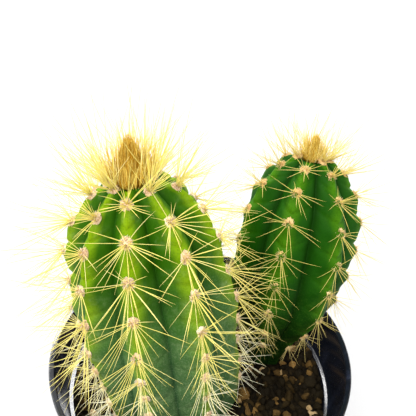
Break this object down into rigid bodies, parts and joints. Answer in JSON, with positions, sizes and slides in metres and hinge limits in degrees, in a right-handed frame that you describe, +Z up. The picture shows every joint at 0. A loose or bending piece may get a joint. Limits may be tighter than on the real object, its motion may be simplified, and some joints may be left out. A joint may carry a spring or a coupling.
{
  "type": "potted tall cactus",
  "caption": "Two tall ribbed cacti with golden spines and woolly crowns, growing in gritty soil in a round glossy black nursery pot.",
  "frame": {"origin": "centre of the pot's flat base", "axes": "+Z up along the pot's axis; the plant's front, where the taller stem leans out, faces -Y"},
  "size_m": [0.1287, 0.12, 0.2076],
  "materials": {
    "pot_plastic": "glossy black moulded plastic",
    "gritty_soil": "dark crumbly soil with tan grit",
    "stem_light_green": "waxy living cactus skin, yellow-green at the crown and blue-green lower down, with tan areoles and golden spines",
    "stem_dark_green": "waxy living cactus skin, deep green, with tan areoles and golden spines",
    "golden_wool": "matte golden-brown wool and young spines"
  },
  "bodies": {
    "root": {"pot": "pot_plastic", "soil": "gritty_soil", "stem_main": "stem_light_green", "stem_rear": "stem_dark_green", "crown_main": "golden_wool", "crown_rear": "golden_wool"}
  },
  "joints": []
}
